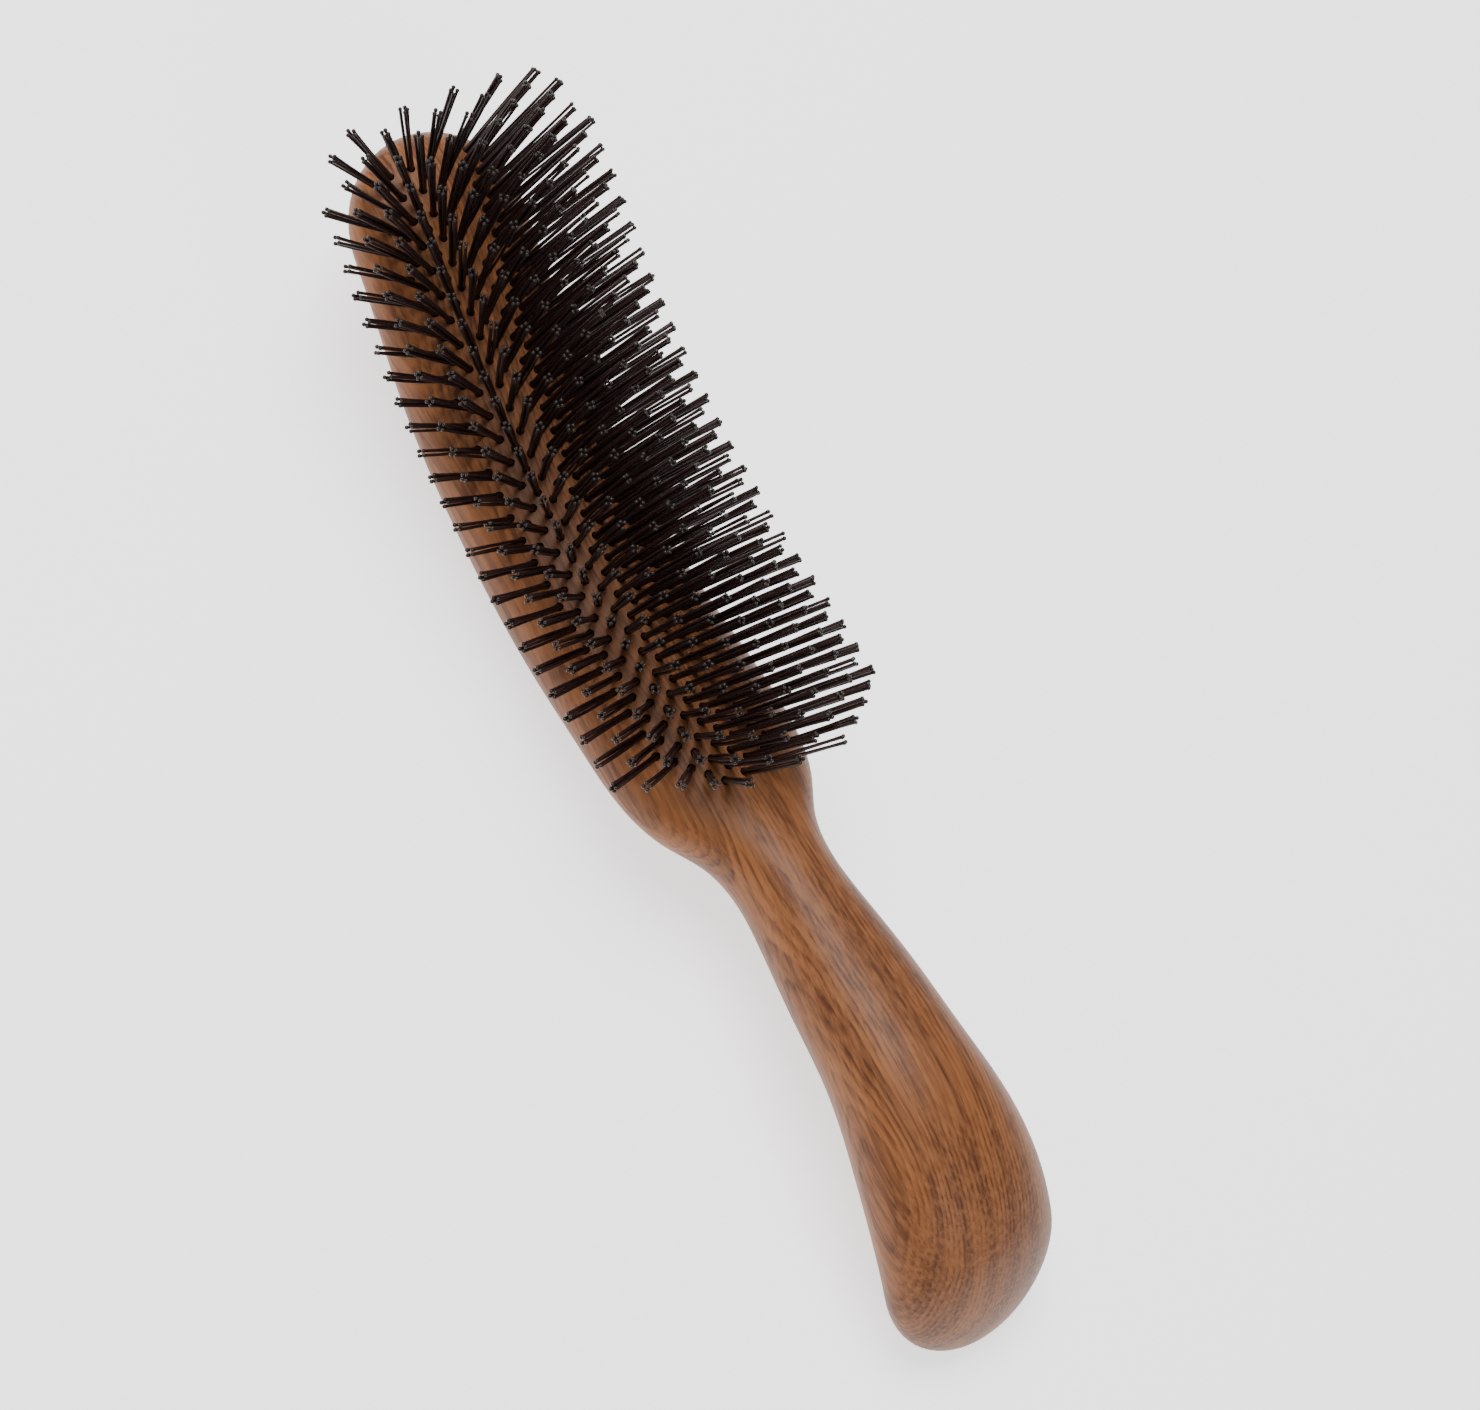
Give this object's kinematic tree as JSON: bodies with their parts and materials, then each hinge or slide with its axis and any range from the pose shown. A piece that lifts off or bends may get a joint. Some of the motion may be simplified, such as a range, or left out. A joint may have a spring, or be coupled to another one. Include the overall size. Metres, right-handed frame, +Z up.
{
  "type": "hairbrush",
  "caption": "Carved wooden hairbrush with a curved handle and fanned rows of ball-tipped synthetic bristle tufts set in drilled holes.",
  "frame": {"origin": "centre of the bounding box in plan, on the level the brush lies on with its bristles up", "axes": "+X towards the tip of the head, +Z up on the bristle side; the brush is the same on both sides of the XZ plane but for the stagger of its tufts"},
  "size_m": [0.2136, 0.053, 0.0496],
  "materials": {
    "lacquered_wood": "satin lacquer over a warm reddish brown hardwood",
    "bristle_nylon": "smooth, very dark brown",
    "anchor_wire": "drawn flat wire"
  },
  "bodies": {
    "root": {"wood_body": "lacquered_wood", "tuft_row_01": "bristle_nylon", "tuft_row_02": "bristle_nylon", "tuft_row_03": "bristle_nylon", "tuft_row_04": "bristle_nylon", "tuft_row_05": "bristle_nylon", "tuft_row_06": "bristle_nylon", "tuft_row_07": "bristle_nylon", "tuft_row_08": "bristle_nylon", "tuft_row_09": "bristle_nylon", "tuft_row_10": "bristle_nylon", "tuft_row_11": "bristle_nylon", "tuft_row_12": "bristle_nylon", "tuft_row_13": "bristle_nylon", "anchor_row_01": "anchor_wire", "anchor_row_02": "anchor_wire", "anchor_row_03": "anchor_wire", "anchor_row_04": "anchor_wire", "anchor_row_05": "anchor_wire", "anchor_row_06": "anchor_wire", "anchor_row_07": "anchor_wire", "anchor_row_08": "anchor_wire", "anchor_row_09": "anchor_wire", "anchor_row_10": "anchor_wire", "anchor_row_11": "anchor_wire", "anchor_row_12": "anchor_wire", "anchor_row_13": "anchor_wire"}
  },
  "joints": []
}
